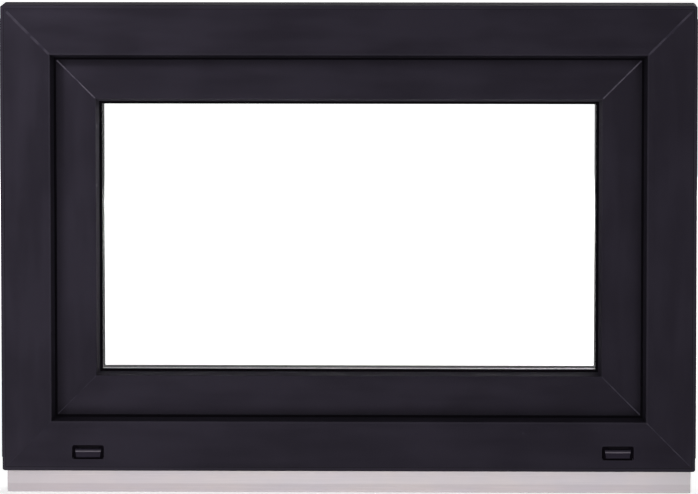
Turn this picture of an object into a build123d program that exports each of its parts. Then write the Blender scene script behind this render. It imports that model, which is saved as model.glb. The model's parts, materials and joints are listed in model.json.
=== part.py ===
from build123d import *
import os

# A basement window: a dark plastic outer frame, an inward opening sash with double glazing,
# two drain caps and a pale base profile under the frame.
# Millimetres, +Z up. The outside faces -Y and the room +Y. The origin is the centre of the
# outer frame's depth and width, on the underside of the base profile.

# Driving dimensions
frame_width = 900.0
frame_height = 605.0
frame_depth = 70.0
base_height = 30.0
base_end_gap = 6.0

face_width = 64.5
leg_u = 68.6
reveal_depth = 14.0
gasket_gap = 3.0
rebate_u = 48.0
sash_depth = 70.0
sash_side_u = 60.0
overlap_u = 40.0
overlap_gap = 4.0
sash_face_u = 122.4
lip_u = 126.3
lip_depth = 15.0
glazing_floor_u = 108.0
pane_edge_u = 113.0
outer_gasket_u = 129.8
spacer_u = 129.3
daylight_u = 131.0

pane_thickness = 4.0
spacer_gap = 16.0
glazing_gasket = 3.0
wall = 3.0
web = 2.0

# A section is drawn in u, the distance from the frame's outer edge towards the glass,
# and v, the depth behind the frame's outside face.
leg_back_v = reveal_depth + 2.0
sash_front_v = leg_back_v + gasket_gap
sash_back_v = sash_front_v + sash_depth
overlap_v = frame_depth + overlap_gap
lip_back_v = sash_front_v + lip_depth
outer_pane_v = lip_back_v + glazing_gasket
spacer_v = outer_pane_v + pane_thickness
inner_pane_v = spacer_v + spacer_gap
glazing_back_v = inner_pane_v + pane_thickness
bead_v = glazing_back_v + glazing_gasket

INWARD = {
    "head": Vector(0, 0, -1),
    "bottom": Vector(0, 0, 1),
    "left": Vector(1, 0, 0),
    "right": Vector(-1, 0, 0),
}
frame_centre = Vector(0, -frame_depth / 2, base_height + frame_height / 2)


def profile(corners):
    """A closed face with corners given as (u, v, rounding radius)."""
    points = [(u, v) for u, v, radius in corners]
    radii = [radius for u, v, radius in corners]
    return make_face(FilletPolyline(*points, radius=radii, close=True))


def block(u0, v0, u1, v1):
    """A rectangle between two corners of the section."""
    return Pos((u0 + u1) / 2, (v0 + v1) / 2) * Rectangle(u1 - u0, v1 - v0)


def chamber(u0, v0, u1, v1, corner=1.5):
    """A hollow of the profile, with rounded corners."""
    return Pos((u0 + u1) / 2, (v0 + v1) / 2) * RectangleRounded(u1 - u0, v1 - v0, corner)


def side_plane(side):
    """The plane of a member's section: x runs inwards, y runs back, z along the member."""
    inward = INWARD[side]
    reach = abs(inward.X) * frame_width / 2 + abs(inward.Z) * frame_height / 2
    return Plane(frame_centre - inward * reach, x_dir=inward, z_dir=inward.cross(Vector(0, 1, 0)))


def side_length(side):
    """The outer length of the frame's side."""
    return frame_width if side in ("head", "bottom") else frame_height


def mitred(section, side):
    """One length of a profile in its own section frame, cut at 45 degrees at both ends."""
    half = side_length(side) / 2
    bar = extrude(section, amount=half, both=True)
    for end in (1, -1):
        bar = split(bar, bisect_by=Plane((0, 0, end * half), z_dir=(1, 0, end)), keep=Keep.BOTTOM)
    return bar


def member(section, side):
    """One mitred length of a profile, set in its place on that side of the window."""
    return side_plane(side).location * mitred(section, side)


def ring(section):
    """A profile that runs round the window in one piece."""
    whole = member(section, "head")
    for side in ("right", "bottom", "left"):
        whole += member(section, side)
    return whole


# Outer frame
groove_width = 6.0
groove_depth = 6.0
groove_v = (20.0, 50.0)
front_web_v = 16.0
back_web_v = 52.0
keep_channel_v = (28.0, 48.0)
keep_channel_depth = 1.5
edge_line_u = 4.6
edge_line_width = 0.8
edge_line_depth = 0.5
inner_bevel_width = 9.0
inner_bevel_depth = 0.5
corner_radius = 5.0
cleaned_depth = 0.8
cleaned_length = 18.0


def frame_section():
    """The outer frame's profile, with its chambers, fixing grooves and the fine line on its face."""
    section = profile([
        (0, 0, 2.0),
        (face_width - inner_bevel_width, 0, 20.0),
        (face_width, inner_bevel_depth, 1.5),
        (leg_u, reveal_depth, 0.6),
        (leg_u, leg_back_v, 0.4),
        (rebate_u, leg_back_v, 1.0),
        (rebate_u, frame_depth, 2.0),
        (0, frame_depth, 2.0),
    ])
    section -= block(edge_line_u, 0, edge_line_u + edge_line_width, edge_line_depth)
    for v in groove_v:
        section -= block(0, v - groove_width / 2, groove_depth, v + groove_width / 2)
    section -= block(rebate_u - keep_channel_depth, keep_channel_v[0], rebate_u, keep_channel_v[1])
    outer_u = groove_depth + wall
    inner_u = rebate_u - keep_channel_depth - wall
    section -= chamber(wall, wall, inner_u, front_web_v - web / 2)
    section -= chamber(outer_u, front_web_v + web / 2, inner_u, back_web_v - web / 2)
    section -= chamber(outer_u, back_web_v + web / 2, inner_u, frame_depth - wall)
    section -= chamber(inner_u + web, wall, face_width - wall, leg_back_v - wall)
    return section


def frame_member(side):
    """One length of the outer frame, with the corners rounded and their welds cleaned off."""
    elevation = Plane(frame_centre + Vector(0, frame_depth / 2, 0), x_dir=(1, 0, 0), z_dir=(0, -1, 0))
    outline = elevation.location * RectangleRounded(frame_width, frame_height, corner_radius)
    bar = member(frame_section(), side) & extrude(outline, frame_depth / 2, both=True)
    strip = Box(2 * cleaned_depth, 2 * frame_depth, 2 * cleaned_length)
    for x in (-frame_width / 2, frame_width / 2):
        for z in (base_height, base_height + frame_height):
            bar -= Pos(x, 0, z) * strip
    return bar


# Drain caps, each set in a pocket of the bottom member's outside wall
cap_x = {"left": -frame_width / 2 + 112.0, "right": frame_width / 2 - 101.0}
cap_width = 41.5
cap_height = 18.5
cap_centre_u = 24.3
cap_corner = 3.0
cap_wall = 0.9
cap_depth = 6.5
cap_lip = 0.4
hood_width = 33.5
hood_taper = 1.6
hood_top = 4.2
hood_ledge = 1.6
hood_crest = 0.6
hood_foot = -6.6
hood_proud = 1.2
hood_lean = 0.4
drain_width = 28.0
drain_height = 4.5


def cap_place(x):
    """The plane of a drain cap: x to the right, y up, z out of the wall."""
    return Plane((x, frame_centre.Y, base_height + cap_centre_u), x_dir=(1, 0, 0), z_dir=(0, -1, 0))


def cap_pocket(x):
    """The opening in the frame's outside wall that a cap fills."""
    pocket = RectangleRounded(cap_width, cap_height, cap_corner)
    return cap_place(x).location * extrude(pocket, 2 * wall, both=True)


def drain_hood():
    """The hood in the tray: a ledge that slopes to the front, and a front that narrows downwards."""
    floor = cap_wall - cap_depth
    side = make_face(Polyline(
        (floor, hood_top),
        (-hood_ledge, hood_top),
        (hood_proud, hood_crest),
        (hood_proud - hood_lean, hood_foot + 2 * hood_lean),
        (hood_proud - 3 * hood_lean, hood_foot),
        (floor, hood_foot),
        close=True))
    across = Plane((0, 0, 0), x_dir=(0, 0, 1), z_dir=(-1, 0, 0))
    hood = extrude(across.location * side, hood_width / 2, both=True)
    top_half = hood_width / 2
    foot_half = top_half - hood_taper
    front = make_face(Polyline(
        (-top_half, hood_top), (top_half, hood_top), (foot_half, hood_foot), (-foot_half, hood_foot),
        close=True))
    return hood & extrude(front, 2 * cap_depth, both=True)


def drain_cap(x):
    """A tray that fills the pocket, with the slot in its back, and the hood that shields it."""
    outer = RectangleRounded(cap_width, cap_height, cap_corner)
    inner = RectangleRounded(cap_width - 2 * cap_wall, cap_height - 2 * cap_wall, cap_corner - cap_wall)
    tray = extrude(outer, cap_depth - cap_lip) - Pos(0, 0, cap_wall) * extrude(inner, cap_depth)
    slot_y = cap_height / 2 - cap_wall - drain_height / 2
    tray -= Pos(0, slot_y) * extrude(SlotOverall(drain_width, drain_height), cap_wall, both=True)
    return cap_place(x).location * (Pos(0, 0, -cap_depth) * tray + drain_hood())


# Sash
hardware_v = 66.0
hardware_mouth_width = 12.0
hardware_mouth_depth = 3.0
hardware_slot_width = 16.0
hardware_slot_depth = 9.0
sash_web_v = 56.0
bead_foot = 2.0
bead_foot_v = (72.0, 77.0)
bead_foot_play = 0.1


def sash_section():
    """The sash's profile: flat outside face, bevelled lip, overlap and hardware groove."""
    section = profile([
        (sash_side_u, sash_front_v, 1.5),
        (sash_face_u, sash_front_v, 1.0),
        (lip_u, lip_back_v - 1.0, 0.4),
        (lip_u, lip_back_v, 0.3),
        (glazing_floor_u, lip_back_v, 0.5),
        (glazing_floor_u, sash_back_v, 1.0),
        (overlap_u, sash_back_v, 3.0),
        (overlap_u, overlap_v, 1.0),
        (sash_side_u, overlap_v, 0.5),
    ])
    mouth_u = sash_side_u + hardware_mouth_depth
    slot_u = sash_side_u + hardware_slot_depth
    foot_u = glazing_floor_u - bead_foot
    mouth = hardware_mouth_width / 2
    slot = hardware_slot_width / 2
    section -= block(sash_side_u, hardware_v - mouth, mouth_u, hardware_v + mouth)
    section -= block(mouth_u, hardware_v - slot, slot_u, hardware_v + slot)
    section -= block(foot_u, bead_foot_v[0], glazing_floor_u, bead_foot_v[1])
    inner_u = glazing_floor_u - wall
    front_v = sash_front_v + wall
    section -= chamber(sash_side_u + wall, front_v, inner_u, sash_web_v - web / 2)
    section -= chamber(inner_u + web, front_v, sash_face_u - web, lip_back_v - wall)
    section -= chamber(slot_u + wall, sash_web_v + web / 2, foot_u - web, sash_back_v - wall)
    section -= chamber(overlap_u + wall, overlap_v + wall, slot_u + wall - web, sash_back_v - wall)
    return section


bead_edge = 4.0
bead_flat = 8.0
bead_wall = 1.8


def bead_section():
    """The glazing bead: its foot clips into the sash, and its face slopes towards the glass."""
    section = profile([
        (glazing_floor_u, bead_v, 0.5),
        (daylight_u, bead_v, 0.8),
        (daylight_u, bead_v + bead_edge, 2.0),
        (glazing_floor_u + bead_flat, sash_back_v, 2.5),
        (glazing_floor_u, sash_back_v, 0.6),
    ])
    foot_front, foot_back = bead_foot_v
    section += block(
        glazing_floor_u - bead_foot + bead_foot_play, foot_front + bead_foot_play,
        glazing_floor_u, foot_back - bead_foot_play)
    hollow = chamber(
        glazing_floor_u + bead_wall, bead_v + wall,
        glazing_floor_u + bead_flat, sash_back_v - wall, 1.0)
    return section - hollow


# Gaskets
frame_gasket_u = 71.5
gasket_root = 2.0
gasket_nose = 0.8
tube_width = 5.0
tube_lean = 1.0


def frame_gasket_section():
    """The lip between the frame's leg and the sash face."""
    return profile([
        (face_width - gasket_root, leg_back_v, 0),
        (leg_u - 0.4, leg_back_v, 0),
        (frame_gasket_u, sash_front_v - gasket_nose, 0.3),
        (frame_gasket_u, sash_front_v, 0.2),
        (face_width - gasket_root, sash_front_v, 0),
    ])


def sash_gasket_section():
    """The soft strip between the sash overlap and the frame's room side."""
    front_u = overlap_u + tube_lean
    back_u = front_u + tube_lean
    return profile([
        (front_u, frame_depth, 0.8),
        (front_u + tube_width, frame_depth, 0.8),
        (back_u + tube_width, overlap_v, 0),
        (back_u, overlap_v, 0),
    ])


def outer_glazing_gasket_section():
    """The wedge between the sash lip and the outer pane."""
    return profile([
        (pane_edge_u + gasket_root, lip_back_v, 0),
        (lip_u - 0.3, lip_back_v, 0),
        (outer_gasket_u, outer_pane_v - gasket_nose, 0.3),
        (outer_gasket_u, outer_pane_v, 0),
        (pane_edge_u + gasket_root, outer_pane_v, 0),
    ])


def inner_glazing_gasket_section():
    """The strip between the inner pane and the bead."""
    nose_u = daylight_u + 0.6
    return profile([
        (pane_edge_u + gasket_root, glazing_back_v, 0),
        (nose_u, glazing_back_v, 0),
        (nose_u, glazing_back_v + gasket_nose, 0.3),
        (daylight_u - gasket_nose, bead_v, 0),
        (pane_edge_u + gasket_root, bead_v, 0),
    ])


# Glazing unit
spacer_width = 6.5
spacer_wall = 1.0
block_length = 100.0
block_from_end = 120.0


def pane(front_v):
    """One sheet of glass whose front is at that depth."""
    width = frame_width - 2 * pane_edge_u
    height = frame_height - 2 * pane_edge_u
    centre = frame_centre + Vector(0, front_v + pane_thickness / 2, 0)
    return Pos(*centre) * Box(width, pane_thickness, height)


def spacer_section():
    """The hollow bar between the panes."""
    bar = block(spacer_u - spacer_width, spacer_v, spacer_u, inner_pane_v)
    hollow = block(
        spacer_u - spacer_width + spacer_wall, spacer_v + spacer_wall,
        spacer_u - spacer_wall, inner_pane_v - spacer_wall)
    return bar - hollow


def edge_seal_section():
    """The sealant that fills the unit's edge outside the bar."""
    return block(pane_edge_u, spacer_v, spacer_u - spacer_width, inner_pane_v)


def setting_blocks():
    """The blocks that carry the glazing unit in the sash's bottom rail."""
    section = block(glazing_floor_u, outer_pane_v, pane_edge_u, glazing_back_v)
    reach = frame_width / 2 - pane_edge_u - block_from_end
    blocks = [Pos(0, 0, z) * extrude(section, block_length / 2, both=True) for z in (-reach, reach)]
    return side_plane("bottom").location * Compound(blocks)


# Base profile
base_front_v = 16.0
base_web_v = (34.0, 52.0)
base_rib_height = 5.5
base_rib_play = 0.3
band_height = 11.5
band_setback = 2.5
draw_groove = 0.6
draw_groove_drop = (3.2, 6.4)


def base_profile():
    """The hollow extrusion under the frame, with ribs that sit in the frame's grooves."""
    foot_v = base_front_v + band_setback
    section = profile([
        (0, base_front_v, 0.5),
        (0, frame_depth, 0.5),
        (-base_height, frame_depth, 1.0),
        (-base_height, foot_v, 1.0),
        (-base_height + band_height, base_front_v, 0.6),
    ])
    sides = (foot_v, *base_web_v, frame_depth)
    for front, back in zip(sides[:-1], sides[1:]):
        section -= chamber(-base_height + wall, front + web, -wall, back - web)
    for drop in draw_groove_drop:
        section -= block(-drop - draw_groove, base_front_v, -drop, base_front_v + draw_groove)
    rib = groove_width - 2 * base_rib_play
    for v in groove_v:
        section += block(0, v - rib / 2, base_rib_height, v + rib / 2)
    bar = extrude(section, amount=frame_width / 2 - base_end_gap, both=True)
    return side_plane("bottom").location * bar


# Handle, on the room side of the left stile
handle_x = -frame_width / 2 + (overlap_u + glazing_floor_u) / 2
handle_z = frame_centre.Z
room_face_y = frame_centre.Y + sash_back_v
rosette_width = 30.0
rosette_height = 68.0
rosette_thickness = 10.0
neck_radius = 9.5
collar_radius = 11.5
collar_length = 4.0
lever_out = 42.0
lever_split = 14.0

# Stations of the lever: height above the neck's axis, distance out, width, thickness, rounding
lever_stations = (
    (10.5, lever_out, 20.0, 13.0, 5.0),
    (-20.0, lever_out + 1, 20.0, 13.0, 5.0),
    (-65.0, lever_out + 2, 18.5, 11.5, 5.0),
    (-108.0, lever_out, 20.0, 10.0, 4.5),
)
lever_end_rounding = 3.0


def handle_plane():
    """The stile's room face at the handle: x to the left seen from outside, y up, z into the room."""
    return Plane((handle_x, room_face_y, handle_z), x_dir=(-1, 0, 0), z_dir=(0, 1, 0))


def handle_rosette():
    """The rounded plate under the handle."""
    outline = RectangleRounded(rosette_width, rosette_height, rosette_width / 2 - 1)
    plate = extrude(outline, rosette_thickness)
    plate = fillet(plate.faces().sort_by(Axis.Z)[-1].edges(), 2.5)
    return handle_plane().location * plate


def lever_section(height, out, width, thickness, rounding):
    """A level section through the lever."""
    level = Plane((0, height, out), x_dir=(1, 0, 0), z_dir=(0, -1, 0))
    return level.location * RectangleRounded(width, thickness, rounding)


def handle_neck_and_lever():
    """The round neck with its elbow, and the lever that hangs from it and bows a little outwards."""
    lever = loft([lever_section(*station) for station in lever_stations])
    ends = lever.faces().sort_by(Axis.Y)
    lever = fillet(ends[0].edges() + ends[-1].edges(), lever_end_rounding)
    neck = extrude(Circle(neck_radius), lever_out - rosette_thickness)
    collar = extrude(Circle(collar_radius), collar_length)
    whole = lever + Pos(0, 0, rosette_thickness) * (neck + collar)
    cut = Plane((0, -lever_split, 0), z_dir=(0, 1, 0))
    place = handle_plane().location
    return [place * split(whole, bisect_by=cut, keep=side) for side in (Keep.TOP, Keep.BOTTOM)]


# Hinges, over the joint between the right jamb and the sash, on the room side
hinge_u = 30.0
hinge_v = 81.0
barrel_radius = 8.5
barrel_length = 24.0
pin_radius = 3.0
pin_play = 0.05
pin_head = 2.0
pin_head_radius = 4.5
leaf = 2.5
leaf_length = 44.0
leaf_corner = 3.0
frame_leaf_u = 8.0
sash_leaf_u = 62.0
hinge_from_end = 60.0
hinge_z = {"lower": base_height + hinge_from_end, "upper": base_height + frame_height - hinge_from_end}


def upright(section, start, end):
    """A section of the right jamb, extruded between two heights."""
    low, high = sorted((start, end))
    bar = Pos(0, 0, frame_centre.Z - high) * extrude(section, high - low)
    return side_plane("right").location * bar


def knuckle(web_section, start, end):
    """A round knuckle on the hinge's axis, with the web that carries it and the pin's bore."""
    axis = Pos(hinge_u, hinge_v)
    section = axis * Circle(barrel_radius) + web_section - axis * Circle(pin_radius + pin_play)
    return upright(section, start, end)


def leaf_plate(u0, u1, v, start, end):
    """The flat leaf that is screwed to the profile."""
    plate = upright(block(u0, v, u1, v + leaf), start, end)
    return fillet(plate.edges().filter_by(Axis.Y), leaf_corner)


def hinge_pin(middle):
    """The pin, with a head on the outer end of each knuckle."""
    axis = Pos(hinge_u, hinge_v)
    pin = upright(axis * Circle(pin_radius), middle - barrel_length, middle + barrel_length)
    for end in (-1, 1):
        seat = middle + end * barrel_length
        pin += upright(axis * Circle(pin_head_radius), seat, seat + end * pin_head)
    return pin


def hinge(level):
    """The frame's leaf, the sash's leaf and the pin. The frame's leaf is nearer the corner."""
    middle = hinge_z[level]
    corner = -1 if level == "lower" else 1
    frame_web = block(hinge_u - barrel_radius, frame_depth, hinge_u, hinge_v)
    sash_web = block(hinge_u, hinge_v, hinge_u + barrel_radius, sash_back_v + leaf)
    frame_part = knuckle(frame_web, middle, middle + corner * barrel_length)
    frame_part += leaf_plate(frame_leaf_u, hinge_u, frame_depth, middle, middle + corner * leaf_length)
    sash_part = knuckle(sash_web, middle, middle - corner * barrel_length)
    sash_part += leaf_plate(hinge_u, sash_leaf_u, sash_back_v, middle, middle - corner * leaf_length)
    return frame_part, sash_part, hinge_pin(middle)


MEMBERS = {
    "head": ("frame_head", "sash_top_rail", "glazing_bead_top"),
    "bottom": ("frame_bottom", "sash_bottom_rail", "glazing_bead_bottom"),
    "left": ("frame_jamb_left", "sash_stile_left", "glazing_bead_left"),
    "right": ("frame_jamb_right", "sash_stile_right", "glazing_bead_right"),
}


def build():
    """Every node of the window, by name."""
    nodes = {}
    for side, (frame_name, sash_name, bead_name) in MEMBERS.items():
        nodes[frame_name] = frame_member(side)
        nodes[sash_name] = member(sash_section(), side)
        nodes[bead_name] = member(bead_section(), side)
    nodes["frame_gasket"] = ring(frame_gasket_section())
    nodes["sash_gasket"] = ring(sash_gasket_section())
    nodes["outer_glazing_gasket"] = ring(outer_glazing_gasket_section())
    nodes["inner_glazing_gasket"] = ring(inner_glazing_gasket_section())
    nodes["outer_pane"] = pane(outer_pane_v)
    nodes["inner_pane"] = pane(inner_pane_v)
    nodes["spacer_bar"] = ring(spacer_section())
    nodes["edge_seal"] = ring(edge_seal_section())
    nodes["setting_blocks"] = setting_blocks()
    nodes["base_profile"] = base_profile()
    for name, x in cap_x.items():
        nodes["frame_bottom"] -= cap_pocket(x)
        nodes["drain_cap_" + name] = drain_cap(x)
    nodes["handle_rosette"] = handle_rosette()
    nodes["handle_neck"], nodes["handle_lever"] = handle_neck_and_lever()
    for level in hinge_z:
        frame_part, sash_part, pin = hinge(level)
        nodes["hinge_" + level + "_frame_leaf"] = frame_part
        nodes["hinge_" + level + "_sash_leaf"] = sash_part
        nodes["hinge_" + level + "_pin"] = pin
    return nodes


os.makedirs("parts", exist_ok=True)
for node, shape in build().items():
    export_step(shape, "parts/" + node + ".step")
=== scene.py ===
import json
import math

import bmesh
import bpy
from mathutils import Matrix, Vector


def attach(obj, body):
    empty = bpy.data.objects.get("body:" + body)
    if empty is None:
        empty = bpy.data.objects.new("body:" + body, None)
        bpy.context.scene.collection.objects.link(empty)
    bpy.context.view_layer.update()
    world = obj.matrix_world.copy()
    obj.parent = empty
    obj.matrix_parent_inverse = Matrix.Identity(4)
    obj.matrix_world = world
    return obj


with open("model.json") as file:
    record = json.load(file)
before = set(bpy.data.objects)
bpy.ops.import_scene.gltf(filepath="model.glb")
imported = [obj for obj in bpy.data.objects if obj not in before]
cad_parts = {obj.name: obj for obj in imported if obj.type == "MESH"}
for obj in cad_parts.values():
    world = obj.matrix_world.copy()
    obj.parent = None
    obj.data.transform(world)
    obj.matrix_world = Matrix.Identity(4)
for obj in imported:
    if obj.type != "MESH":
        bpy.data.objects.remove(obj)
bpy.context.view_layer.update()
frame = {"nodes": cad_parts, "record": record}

# Sizes in metres in the part's own frame. A name that ends in U is a distance in from the outer edge
MM = 0.001
FRAME_WIDTH = 900 * MM
FRAME_TOP = 635 * MM
FRAME_BOTTOM = 30 * MM
FACE_Y = -35 * MM
FRAME_BACK_Y = 35 * MM
SASH_FACE_Y = -16 * MM
SASH_BACK_Y = 54 * MM
GLASS_Y = 2 * MM
SPACER_BACK_Y = 22 * MM
BARE_U = 0.4 * MM
EDGE_LINE_U = 4.6 * MM
OVERLAP_U = 40 * MM
BEVEL_U = 55.5 * MM
BEVEL_DROP = 0.5 * MM
FACE_U = 64.5 * MM
SASH_SHOWN_U = 71.5 * MM
BEAD_U = 108 * MM
SASH_FACE_U = 122.4 * MM
LIP_U = 126.3 * MM
SASH_OPENING_TOP = FRAME_TOP - LIP_U
SASH_OPENING_FOOT = FRAME_BOTTOM + LIP_U
CENTRE = Vector((0, 0, 317.5 * MM))

# The hoods of the two drain caps: their places along X, half their width, and their heights
CAP_LEFT_X = -338 * MM
CAP_RIGHT_X = 349 * MM
HOOD_HALF = 17.0 * MM
HOOD_FOOT = 47.7 * MM
HOOD_CREST = 54.9 * MM
HOOD_TOP = 58.6 * MM

# Colours. Where there are two, the material's noise mixes them
WHITE = (1.0, 1.0, 1.0)
# The foil's colours at the left end, and at the right end with painted shade where less light falls
FOIL_LEFT = ((0.0168, 0.0145, 0.0214), (0.0238, 0.0206, 0.0300))
FOIL_RIGHT_PAINTED_SHADE = ((0.0140, 0.0119, 0.0179), (0.0194, 0.0168, 0.0247))
# Painted shade in the foil's recesses, on the frame's reveal and on the lower lip round the glass
FOIL_PAINTED_SHADE = (0.0016, 0.0013, 0.0020)
BARE_PLASTIC = (0.0135, 0.0108, 0.0172)
# Rubbed plastic for worn edges, also used as the painted highlight on the foil's rims, outer border and upper
# lip
RUBBED_AND_HIGHLIT_PLASTIC = (0.045, 0.041, 0.052)
RUBBER = ((0.0010, 0.0008, 0.0013), (0.0030, 0.0025, 0.0038))
SEALANT = ((0.004, 0.004, 0.005), (0.010, 0.010, 0.012))
GLASS_TINT = ((0.9985, 1.0, 0.9992), (0.9995, 1.0, 0.9998))
BRIGHT_SPACER = ((0.50, 0.49, 0.50), (0.58, 0.57, 0.58))
# Dull spacer for the sealant smear, and as painted shade on every run but the lower one
DULL_SPACER_AND_PAINTED_SHADE = (0.006, 0.005, 0.008)
SPACER_EDGE_TINT = (0.12, 0.11, 0.13)
BASE_PLASTIC = ((0.585, 0.535, 0.575), (0.625, 0.560, 0.570))
BASE_LINES = (0.50, 0.465, 0.485)
BASE_LEFT_END = (0.40, 0.345, 0.37)
CAP_PLASTIC = ((0.016, 0.013, 0.021), (0.022, 0.019, 0.028))
# Painted shade round the caps' hoods, and a painted highlight on their ledges
CAP_PAINTED_SHADE_COLOUR = (0.0012, 0.0007, 0.0016)
CAP_PAINTED_HIGHLIGHT = (0.175, 0.158, 0.188)
HANDLE_COAT = ((0.012, 0.011, 0.014), (0.018, 0.016, 0.021))
HINGE_COAT = ((0.013, 0.012, 0.015), (0.020, 0.018, 0.023))
RUBBED_COAT = (0.052, 0.050, 0.056)
ZINC = ((0.42, 0.42, 0.43), (0.56, 0.56, 0.58))
BLOCK_PLASTIC = ((0.09, 0.09, 0.10), (0.13, 0.13, 0.14))
FLOOR_PAINT = ((0.80, 0.80, 0.80), (0.84, 0.84, 0.84))

# The span that most values of a noise keep within
NOISE = (0.3, 0.7)
# How strong wear, painted highlight and painted shade are, from 0 to 1
FOIL_WEAR = 0.45
RIM_PAINTED_HIGHLIGHT = 0.16
RECESS_PAINTED_SHADE = 0.85
REVEAL_PAINTED_SHADE = 0.55
LIP_PAINTED_LIGHT_AND_SHADE = 0.45
CAP_WEAR = 0.2
CAP_PAINTED_SHADE_STRENGTH = 0.9
COAT_WEAR = 0.4

# Weld lines at the mitred corners. They differ in tone and width from corner to corner
SEAM_HEIGHT = 0.15 * MM
SEAM_STEPS = 5
WELD_COLOURS = {
    "clear": ((0.040, 0.035, 0.050), (0.082, 0.073, 0.094)),
    "soft": ((0.025, 0.022, 0.032), (0.044, 0.039, 0.053)),
    "faint": ((0.0195, 0.0168, 0.0250), (0.027, 0.0235, 0.034)),
    "broad": ((0.023, 0.020, 0.0295), (0.041, 0.0365, 0.0495)),
}
# Stations of each line, as distance from the outer edge and depth, and the way its face looks along Y
WELD_LINES = {
    "frame_front": ([(8.5 * MM, FACE_Y), (BEVEL_U, FACE_Y),
                     (FACE_U - 1 * MM, FACE_Y + 0.9 * BEVEL_DROP)], -1),
    "sash_front": ([(SASH_SHOWN_U + 1 * MM, SASH_FACE_Y), (SASH_FACE_U - 1 * MM, SASH_FACE_Y)], -1),
    "frame_back": ([(4 * MM, FRAME_BACK_Y), (OVERLAP_U - 1 * MM, FRAME_BACK_Y)], 1),
    "sash_back": ([(OVERLAP_U + 3 * MM, SASH_BACK_Y), (BEAD_U - 1 * MM, SASH_BACK_Y)], 1),
}
CORNERS = {"top_left": (-1, 1), "top_right": (1, 1), "low_left": (-1, -1), "low_right": (1, -1)}
# Finish of each line outside, and its width in millimetres. The lines on the room side are alike
WELD_LOOKS = {
    "frame_front": {"top_left": ("broad", 3.4), "top_right": ("soft", 2.8), "low_left": ("faint", 0.7),
                    "low_right": ("soft", 1.3)},
    "sash_front": {"top_left": ("clear", 1.7), "top_right": ("clear", 1.8), "low_left": ("faint", 1.2),
                   "low_right": ("soft", 1.6)},
}
ROOM_SIDE_WELD = ("soft", 0.9)

# Camera: a long lens from far away, a little above the window
CAMERA_DISTANCE = 8.0
CAMERA_AZIMUTH = math.radians(1.1)
CAMERA_ELEVATION = math.radians(5.7)
CAMERA_LENS = 317.9
CAMERA_SENSOR = 36.0
CAMERA_REACH = 100.0
LOOK_AT = Vector((0, 0, 319.0 * MM))

# The world's strength as a light, and what makes up for the light that the two panes take
LIT_WORLD = 0.14
GLASS_GAIN = 1.12
# The glow that lets the floor read white: less by the window, where the lamps reach it, than far away
FLOOR_REACH = 60.0
NEAR_FLOOR = 1.0
FAR_FLOOR = 3.5
NEAR_GLOW = 0.60
FAR_GLOW = 0.91
# Lamps: place, the point that each faces, width, height, power in watts and spread in degrees
OPEN_SPREAD = 180
LAMPS = {
    "key": ((-0.30, -4.6, 0.50), (-0.30, 0, 0.42), 1.0, 0.6, 58, 110),
    "top_corner": ((-1.2, -0.9, 1.3), (-0.46, 0, 0.64), 0.1, 0.1, 0.24, 24),
    "low_corner": ((-1.3, -1.0, 0.3), (-0.46, 0, 0.12), 0.1, 0.1, 0.06, 24),
    "above": ((0, 0.9, 2.8), (0, 0.2, 0), 1.8, 1.8, 8, OPEN_SPREAD),
    "left_side": ((-3.2, 0.6, 1.0), CENTRE, 1.4, 1.4, 16, OPEN_SPREAD),
    "right_side": ((3.2, 0.6, 1.0), CENTRE, 1.4, 1.4, 16, OPEN_SPREAD),
    "room_side": ((0.9, 4.4, 1.2), CENTRE, 1.5, 1.5, 130, OPEN_SPREAD),
}


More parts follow.
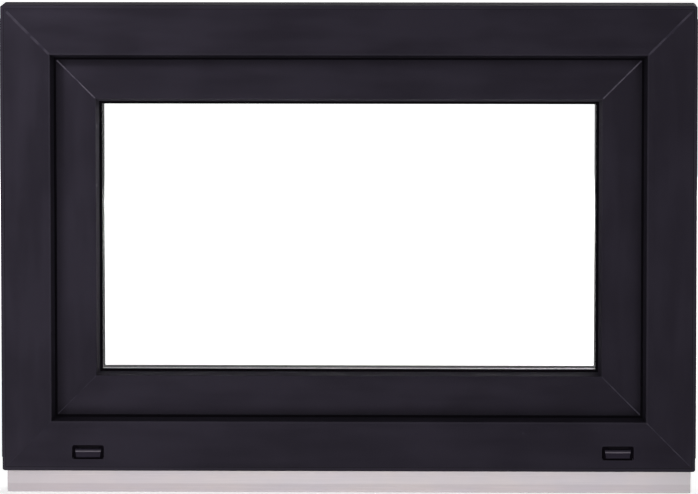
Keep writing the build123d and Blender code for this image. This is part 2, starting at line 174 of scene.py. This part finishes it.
class Graph:
    """A material's or world's node tree, with short calls to add and join nodes."""

    def __init__(self, owner):
        owner.use_nodes = True
        self.tree = owner.node_tree
        self.tree.nodes.clear()

    def feed(self, socket, value):
        """Gives an input its value: a number, a colour or another node's output."""
        if isinstance(value, bpy.types.NodeSocket):
            self.tree.links.new(value, socket)
        elif socket.type == "RGBA":
            socket.default_value = (*value, 1.0)
        else:
            socket.default_value = value

    def add(self, kind, inputs=None, **settings):
        """A node of that kind, with its inputs by name or number."""
        node = self.tree.nodes.new(kind)
        for name, value in settings.items():
            setattr(node, name, value)
        for name, value in (inputs or {}).items():
            self.feed(node.inputs[name], value)
        return node

    def math(self, operation, first, second):
        """The output of a Math node."""
        return self.add("ShaderNodeMath", {0: first, 1: second}, operation=operation).outputs[0]

    def times(self, first, second):
        """Two values multiplied."""
        return self.math("MULTIPLY", first, second)

    def most(self, first, second):
        """The larger of two values."""
        return self.math("MAXIMUM", first, second)

    def above(self, value, limit):
        """1 where the value is over the limit, and 0 elsewhere."""
        return self.math("GREATER_THAN", value, limit)

    def below(self, value, limit):
        """1 where the value is under the limit, and 0 elsewhere."""
        return self.math("LESS_THAN", value, limit)

    def away(self, value, middle):
        """How far a value lies from the middle, to either side."""
        return self.math("ABSOLUTE", self.math("SUBTRACT", value, middle), 0.0)

    def span(self, value, source, target=(0.0, 1.0)):
        """A value carried from one span to another, and held at the ends."""
        inputs = {"Value": value, "From Min": source[0], "From Max": source[1],
                  "To Min": target[0], "To Max": target[1]}
        return self.add("ShaderNodeMapRange", inputs).outputs["Result"]

    def blend(self, amount, first, second):
        """A colour between two, by an amount from 0 to 1."""
        return self.add("ShaderNodeMix", {0: amount, 6: first, 7: second}, data_type="RGBA").outputs[2]

    def coordinates(self):
        """Object coordinates. Every piece stands in the window's own frame."""
        return self.add("ShaderNodeTexCoord").outputs["Object"]

    def place(self):
        """Object coordinates as X, Y and Z."""
        return self.add("ShaderNodeSeparateXYZ", {0: self.coordinates()}).outputs

    def noise(self, scale, detail=3.0, roughness=0.55, stretch=(1.0, 1.0, 1.0)):
        """The value of a Noise texture. A low stretch draws it out along that axis."""
        mapping = self.add("ShaderNodeMapping", {"Vector": self.coordinates(), "Scale": stretch})
        inputs = {"Vector": mapping.outputs["Vector"], "Scale": scale, "Detail": detail,
                  "Roughness": roughness}
        return self.add("ShaderNodeTexNoise", inputs).outputs["Fac"]

    def bump(self, height, strength, distance):
        """A Bump node's normal."""
        inputs = {"Height": height, "Strength": strength, "Distance": distance}
        return self.add("ShaderNodeBump", inputs).outputs["Normal"]

    def edges(self, radius, match):
        """An amount that rises towards edges, where the rounded and the flat normal match less."""
        rounded = self.add("ShaderNodeBevel", {"Radius": radius}, samples=4).outputs["Normal"]
        flat = self.add("ShaderNodeNewGeometry").outputs["Normal"]
        product = self.add("ShaderNodeVectorMath", {0: rounded, 1: flat}, operation="DOT_PRODUCT")
        return self.span(product.outputs["Value"], match, (1.0, 0.0))

    def recess(self, reach, openness):
        """An amount that rises where a surface is closed in by its neighbours."""
        node = self.add("ShaderNodeAmbientOcclusion", {"Distance": reach}, samples=6)
        return self.span(node.outputs["AO"], openness, (1.0, 0.0))

    def past(self, u):
        """How far a point lies outside the line that runs at u all round, and less than 0 inside it."""
        place = self.place()
        across = self.math("SUBTRACT", self.away(place["X"], 0.0), FRAME_WIDTH / 2 - u)
        height = self.away(place["Z"], (FRAME_TOP + FRAME_BOTTOM) / 2)
        return self.most(across, self.math("SUBTRACT", height, (FRAME_TOP - FRAME_BOTTOM) / 2 - u))

    def outside(self, u):
        """1 nearer the frame's outer edge than u, and 0 further in."""
        return self.above(self.past(u), 0.0)

    def inside(self, u):
        """1 further in from the frame's outer edge than u, and 0 nearer to it."""
        return self.below(self.past(u), 0.0)

    def surface(self, **inputs):
        """Joins a Principled shader with these inputs to the output."""
        named = {name.replace("_", " "): value for name, value in inputs.items()}
        shader = self.add("ShaderNodeBsdfPrincipled", named)
        self.add("ShaderNodeOutputMaterial", {"Surface": shader.outputs[0]})


def material(name):
    """A new material and its graph."""
    made = bpy.data.materials.new(name)
    return made, Graph(made)


def foil_body(graph, along, grain, patches):
    """Clean foil: broad patches, wiping streaks, fine grain and painted shade darker towards the right."""
    streaks = {"x": (0.25, 1.0, 1.6), "z": (1.6, 1.0, 0.25)}[along]
    wiped = graph.noise(scale=26.0, detail=2.0, roughness=0.5, stretch=streaks)
    cloud = graph.math("ADD", graph.times(patches, 0.55), graph.times(wiped, 0.45))
    coarse = graph.span(cloud, (0.42, 0.58), (0.0, 0.88))
    mottle = graph.math("ADD", coarse, graph.span(grain, NOISE, (0.0, 0.12)))
    # Painted shade: the foil's colour darkens from left to right, standing in for the light falling off
    painted_falloff = graph.span(graph.place()["X"], (-FRAME_WIDTH / 2, FRAME_WIDTH / 2))
    return graph.blend(painted_falloff, graph.blend(mottle, *FOIL_LEFT), graph.blend(mottle, *FOIL_RIGHT_PAINTED_SHADE))


def foil_material(name, along):
    """Dark foil on plastic, with its grain along the profile. Its edges are rubbed pale. A painted highlight
    lies on its rims and the upper lip round the glass, and painted shade darkens the rebates, the frame's
    reveal and the lower lip. The frame's outermost edge is bare plastic."""
    made, graph = material(name)
    drawn = {"x": (0.12, 1.0, 1.0), "z": (1.0, 1.0, 0.12)}[along]
    grain = graph.noise(scale=2600.0, detail=4.0, roughness=0.6, stretch=drawn)
    patches = graph.noise(scale=9.0, detail=2.0, roughness=0.5)
    body = foil_body(graph, along, grain, patches)
    place = graph.place()

    # Painted light on the lip round the glass: a painted highlight on the upper lip, painted shade on the
    # lower lip, strongest at the foot
    lip = graph.times(graph.inside(SASH_FACE_U - 0.4 * MM), graph.below(place["Y"], GLASS_Y))
    upper_lip_highlight = graph.times(lip, graph.span(place["Z"], (CENTRE.z, SASH_OPENING_TOP), (0.0, LIP_PAINTED_LIGHT_AND_SHADE)))
    lower_lip_shade = graph.times(lip, graph.span(place["Z"], (SASH_OPENING_FOOT, CENTRE.z), (LIP_PAINTED_LIGHT_AND_SHADE, 0.0)))

    worn = graph.times(graph.edges(1.6 * MM, (0.82, 0.99)), FOIL_WEAR)
    # Painted highlight on the frame's inner rim and outer border, mixed in with the real wear on its edges
    rim = graph.times(graph.outside(FACE_U + 0.3 * MM), graph.inside(FACE_U - 2 * MM))
    border = graph.outside(EDGE_LINE_U - 0.5 * MM)
    pale = graph.most(worn, graph.times(graph.most(rim, border), RIM_PAINTED_HIGHLIGHT))
    foil = graph.blend(graph.most(pale, upper_lip_highlight), body, RUBBED_AND_HIGHLIT_PLASTIC)

    # Painted shade: darker in recesses and on the frame's reveal
    closed_in = graph.times(graph.recess(20 * MM, (0.60, 0.94)), graph.outside(SASH_FACE_U - 1 * MM))
    before_sash = graph.below(place["Y"], SASH_FACE_Y - 2.5 * MM)
    reveal = graph.times(graph.inside(FACE_U + 0.4 * MM), before_sash)
    painted_shade = graph.most(graph.times(closed_in, RECESS_PAINTED_SHADE), graph.times(reveal, REVEAL_PAINTED_SHADE))
    shaded = graph.blend(graph.most(painted_shade, lower_lip_shade), foil, FOIL_PAINTED_SHADE)

    bare = graph.outside(BARE_U)
    sheen = graph.most(graph.span(patches, NOISE, (0.66, 0.78)), bare)
    graph.surface(Base_Color=graph.blend(bare, shaded, BARE_PLASTIC), Roughness=sheen,
                  Specular_IOR_Level=0.03, Normal=graph.bump(grain, strength=0.25, distance=0.06 * MM))
    return made


def rubber_material():
    """Black gasket rubber with a dull bloom."""
    made, graph = material("gasket_rubber")
    bloom = graph.noise(scale=240.0)
    graph.surface(Base_Color=graph.blend(bloom, *RUBBER), Roughness=graph.span(bloom, NOISE, (0.75, 0.9)),
                  Specular_IOR_Level=0.02, Normal=graph.bump(bloom, strength=0.2, distance=0.05 * MM))
    return made


def sealant_material():
    """Dark sealant with shallow waves from the nozzle."""
    made, graph = material("edge_sealant")
    waves = graph.noise(scale=90.0, detail=2.0)
    graph.surface(Base_Color=graph.blend(waves, *SEALANT), Roughness=0.5, Specular_IOR_Level=0.3,
                  Normal=graph.bump(waves, strength=0.5, distance=0.4 * MM))
    return made


def glass_material():
    """Clear float glass with a faint green in its depth."""
    made, graph = material("float_glass")
    haze = graph.noise(scale=3.0, detail=1.0)
    graph.surface(Base_Color=graph.blend(haze, *GLASS_TINT), Roughness=0.0, IOR=1.5,
                  Transmission_Weight=1.0)
    return made


def spacer_material():
    """Drawn aluminium: bright on the lower run, painted shade on the others, sealant smeared at the back."""
    made, graph = material("spacer_metal")
    drawn = graph.noise(scale=1800.0, stretch=(0.05, 1.0, 0.05))
    place = graph.place()
    # Painted shade: every run above the lower one is painted dull
    shaded_runs = graph.above(place["Z"], SASH_OPENING_FOOT + 8 * MM)
    smear = graph.span(place["Y"], (SPACER_BACK_Y - 7 * MM, SPACER_BACK_Y - 5 * MM))
    bright = graph.blend(drawn, *BRIGHT_SPACER)
    graph.surface(Base_Color=graph.blend(graph.most(shaded_runs, smear), bright, DULL_SPACER_AND_PAINTED_SHADE),
                  Metallic=1.0, Roughness=graph.span(drawn, NOISE, (0.34, 0.46)),
                  Specular_Tint=SPACER_EDGE_TINT, Normal=graph.bump(drawn, strength=0.15, distance=0.03 * MM))
    return made


def base_material():
    """Pale plastic with faint draw lines and a patchy tint, darker at both ends and towards the left."""
    made, graph = material("pale_plastic")
    lines = graph.noise(scale=900.0, stretch=(0.01, 1.0, 1.0))
    patches = graph.noise(scale=16.0, roughness=0.6, stretch=(1.0, 1.0, 2.2))
    body = graph.blend(graph.span(patches, (0.35, 0.65)), *BASE_PLASTIC)
    along = graph.place()["X"]
    ends = graph.span(graph.away(along, 0.0), (0.36, 0.44), (0.0, 0.9))
    drawn = graph.most(graph.span(lines, (0.4, 0.62), (0.0, 0.35)), ends)
    leftwards = graph.span(along, (-0.36, -0.05), (0.42, 0.0))
    graph.surface(Base_Color=graph.blend(leftwards, graph.blend(drawn, body, BASE_LINES), BASE_LEFT_END),
                  Roughness=0.42, Specular_IOR_Level=0.3,
                  Normal=graph.bump(lines, strength=0.3, distance=0.08 * MM))
    return made


def cap_material():
    """Dark moulded plastic; painted shade round and behind the hood, a painted highlight on the ledge."""
    made, graph = material("cap_plastic")
    grain = graph.noise(scale=700.0)
    worn = graph.times(graph.edges(0.5 * MM, (0.8, 0.99)), CAP_WEAR)
    plastic = graph.blend(worn, graph.blend(grain, *CAP_PLASTIC), RUBBED_AND_HIGHLIT_PLASTIC)
    place = graph.place()
    # Painted shade beside, over, under and behind the hood
    hoods = [graph.away(place["X"], hood) for hood in (CAP_LEFT_X, CAP_RIGHT_X)]
    beside = graph.above(graph.math("MINIMUM", *hoods), HOOD_HALF)
    over_or_under = graph.most(graph.above(place["Z"], HOOD_TOP), graph.below(place["Z"], HOOD_FOOT))
    behind = graph.above(place["Y"], FACE_Y + 1.9 * MM)
    painted_shade = graph.times(graph.most(graph.most(beside, over_or_under), behind), CAP_PAINTED_SHADE_STRENGTH)
    # Painted highlight: the ledge that faces up under the hood's crest is painted pale
    facing = graph.add("ShaderNodeNewGeometry").outputs["Normal"]
    slope = graph.add("ShaderNodeSeparateXYZ", {0: facing}).outputs["Z"]
    ledge = graph.times(graph.span(slope, (0.35, 0.6)), graph.below(slope, 0.8))
    rubbed = graph.times(ledge, graph.span(place["Z"], (HOOD_CREST, HOOD_TOP - 1.5 * MM), (1.0, 0.0)))
    graph.surface(Base_Color=graph.blend(rubbed, graph.blend(painted_shade, plastic, CAP_PAINTED_SHADE_COLOUR), CAP_PAINTED_HIGHLIGHT),
                  Roughness=0.7, Specular_IOR_Level=0.01,
                  Normal=graph.bump(grain, strength=0.2, distance=0.04 * MM))
    return made


def coated_material(name, colours):
    """Dark powder coat with a fine orange peel, rubbed at the edges."""
    made, graph = material(name)
    peel = graph.noise(scale=1100.0, detail=2.0)
    worn = graph.times(graph.edges(1.0 * MM, (0.8, 0.99)), COAT_WEAR)
    graph.surface(Base_Color=graph.blend(worn, graph.blend(peel, *colours), RUBBED_COAT), Roughness=0.38,
                  Specular_IOR_Level=0.3, Normal=graph.bump(peel, strength=0.3, distance=0.05 * MM))
    return made


def pin_material():
    """Bright zinc on the hinge pins."""
    made, graph = material("zinc_plate")
    spangle = graph.noise(scale=420.0)
    graph.surface(Base_Color=graph.blend(spangle, *ZINC), Metallic=1.0,
                  Roughness=graph.span(spangle, NOISE, (0.30, 0.42)))
    return made


def block_material():
    """Grey plastic of the glazing blocks."""
    made, graph = material("block_plastic")
    mottle = graph.noise(scale=300.0, detail=2.0)
    graph.surface(Base_Color=graph.blend(mottle, *BLOCK_PLASTIC), Roughness=0.5,
                  Normal=graph.bump(mottle, strength=0.2, distance=0.1 * MM))
    return made


def seam_material(name, colours):
    """The cleaned weld line: bare plastic, paler where the blade went deeper."""
    made, graph = material(name)
    wear = graph.span(graph.noise(scale=75.0), (0.38, 0.62))
    graph.surface(Base_Color=graph.blend(wear, *colours), Roughness=0.7, Specular_IOR_Level=0.02,
                  Normal=graph.bump(wear, strength=0.2, distance=0.05 * MM))
    return made


def dress_nodes():
    """Gives every node the material of its slot. The panes let light through, so they cast no shadow."""
    foil = {"x": foil_material("foil_along_x", "x"), "z": foil_material("foil_along_z", "z")}
    by_slot = {
        "gasket": rubber_material(),
        "glass": glass_material(),
        "spacer": spacer_material(),
        "sealant": sealant_material(),
        "base_plastic": base_material(),
        "cap_plastic": cap_material(),
        "handle_metal": coated_material("handle_coat", HANDLE_COAT),
        "hinge_metal": coated_material("hinge_coat", HINGE_COAT),
        "pin_metal": pin_material(),
        "block_plastic": block_material(),
    }
    for part in frame["record"]["subparts"]:
        name, slot = part["node"], part["material_slot"]
        upright = any(word in name for word in ("jamb", "stile", "bead_left", "bead_right"))
        chosen = foil["z" if upright else "x"] if slot == "foil" else by_slot[slot]
        shown = frame["nodes"][name]
        shown.data.materials.clear()
        shown.data.materials.append(chosen)
        if slot == "glass":
            shown.visible_shadow = False


def show(name, data):
    """A new object in the scene."""
    made = bpy.data.objects.new(name, data)
    bpy.context.scene.collection.objects.link(made)
    return made


def corner(u, side_x, side_z, y):
    """A point on a corner's diagonal, at distance u from both outer edges."""
    x = side_x * (FRAME_WIDTH / 2 - u)
    z = FRAME_TOP - u if side_z > 0 else FRAME_BOTTOM + u
    return Vector((x, y, z))


def seam(name, points, width, outward):
    """A thin ridge with a rounded section along a welded corner."""
    mesh = bmesh.new()
    along = (points[-1] - points[0]).normalized()
    across = along.cross(outward).normalized()
    rings = []
    for point in points:
        ring = []
        for i in range(SEAM_STEPS + 1):
            turn = math.pi * i / SEAM_STEPS
            offset = across * (math.cos(turn) * width / 2) + outward * (math.sin(turn) * SEAM_HEIGHT)
            ring.append(mesh.verts.new(point + offset))
        rings.append(ring)
    for near, far in zip(rings[:-1], rings[1:]):
        for i in range(SEAM_STEPS):
            mesh.faces.new((near[i], near[i + 1], far[i + 1], far[i]))
        mesh.faces.new((near[SEAM_STEPS], near[0], far[0], far[SEAM_STEPS]))
    mesh.faces.new(rings[0])
    mesh.faces.new(list(reversed(rings[-1])))
    bmesh.ops.recalc_face_normals(mesh, faces=mesh.faces)
    data = bpy.data.meshes.new(name)
    mesh.to_mesh(data)
    mesh.free()
    return show(name, data)


def add_seams():
    """Weld lines at the mitred corners, outside and on the room side."""
    finishes = {name: seam_material(f"weld_{name}", colours) for name, colours in WELD_COLOURS.items()}
    for label, (stations, facing) in WELD_LINES.items():
        outward = Vector((0, facing, 0))
        for place, (side_x, side_z) in CORNERS.items():
            finish, width = WELD_LOOKS.get(label, {}).get(place, ROOM_SIDE_WELD)
            points = [corner(u, side_x, side_z, y) for u, y in stations]
            piece = seam(f"weld_{label}_{place}", points, width * MM, outward)
            piece.data.materials.append(finishes[finish])
            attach(piece, "root")


def seen_rays(graph):
    """1 for rays from the camera or off gloss, a little more through glass, and 0 for light on surfaces."""
    path = graph.add("ShaderNodeLightPath").outputs
    either = graph.most(path["Is Camera Ray"], path["Is Glossy Ray"])
    through = graph.times(path["Is Transmission Ray"], GLASS_GAIN)
    return graph.times(graph.most(either, through), graph.below(path["Diffuse Depth"], 0.5))


def add_world():
    """A white surround: it lights softly and is seen as plain white."""
    world = bpy.data.worlds.new("studio")
    bpy.context.scene.world = world
    graph = Graph(world)
    strength = graph.most(seen_rays(graph), LIT_WORLD)
    light = graph.add("ShaderNodeBackground", {"Color": WHITE, "Strength": strength})
    graph.add("ShaderNodeOutputWorld", {"Surface": light.outputs[0]})


def add_floor():
    """A pale floor that reads white and keeps the window's shadow. Its glow rises with the distance."""
    data = bpy.data.meshes.new("floor")
    rim = [(x * FLOOR_REACH, y * FLOOR_REACH, 0) for x, y in ((-1, -1), (1, -1), (1, 1), (-1, 1))]
    data.from_pydata(rim, [], [(0, 1, 2, 3)])
    floor = show("floor", data)
    made, graph = material("pale_floor")
    paint = graph.blend(graph.noise(scale=4.0, detail=2.0), *FLOOR_PAINT)
    matt = graph.add("ShaderNodeBsdfDiffuse", {"Color": paint})
    far = graph.add("ShaderNodeVectorMath", {0: graph.coordinates()}, operation="LENGTH").outputs["Value"]
    rising = graph.span(far, (NEAR_FLOOR, FAR_FLOOR), (NEAR_GLOW, FAR_GLOW))
    strength = graph.times(seen_rays(graph), rising)
    glow = graph.add("ShaderNodeEmission", {"Color": WHITE, "Strength": strength})
    both = graph.add("ShaderNodeAddShader", {0: matt.outputs[0], 1: glow.outputs[0]})
    graph.add("ShaderNodeOutputMaterial", {"Surface": both.outputs[0]})
    floor.data.materials.append(made)


def add_lamps():
    """A wide frontal key, two small lamps on the left corners, a weak one above, one at each side and one
    for the room side. A narrow spread makes a lamp fall off to the sides."""
    for name, (place, aim, width, height, power, spread) in LAMPS.items():
        data = bpy.data.lights.new(name, "AREA")
        data.shape = "RECTANGLE"
        data.size = width
        data.size_y = height
        data.energy = power
        data.spread = math.radians(spread)
        lamp = show(name, data)
        lamp.location = place
        lamp.rotation_euler = (Vector(aim) - Vector(place)).to_track_quat("-Z", "Y").to_euler()


def add_camera():
    """The photograph's view."""
    data = bpy.data.cameras.new("camera")
    data.lens = CAMERA_LENS
    data.sensor_width = CAMERA_SENSOR
    data.clip_end = CAMERA_REACH
    camera = show("camera", data)
    level = math.cos(CAMERA_ELEVATION)
    outward = Vector((math.sin(CAMERA_AZIMUTH) * level, -math.cos(CAMERA_AZIMUTH) * level,
                      math.sin(CAMERA_ELEVATION)))
    camera.location = LOOK_AT + outward * CAMERA_DISTANCE
    camera.rotation_euler = (-outward).to_track_quat("-Z", "Y").to_euler()
    bpy.context.scene.camera = camera


bpy.context.scene.view_settings.view_transform = "Standard"
dress_nodes()
add_seams()
add_world()
add_floor()
add_lamps()
add_camera()
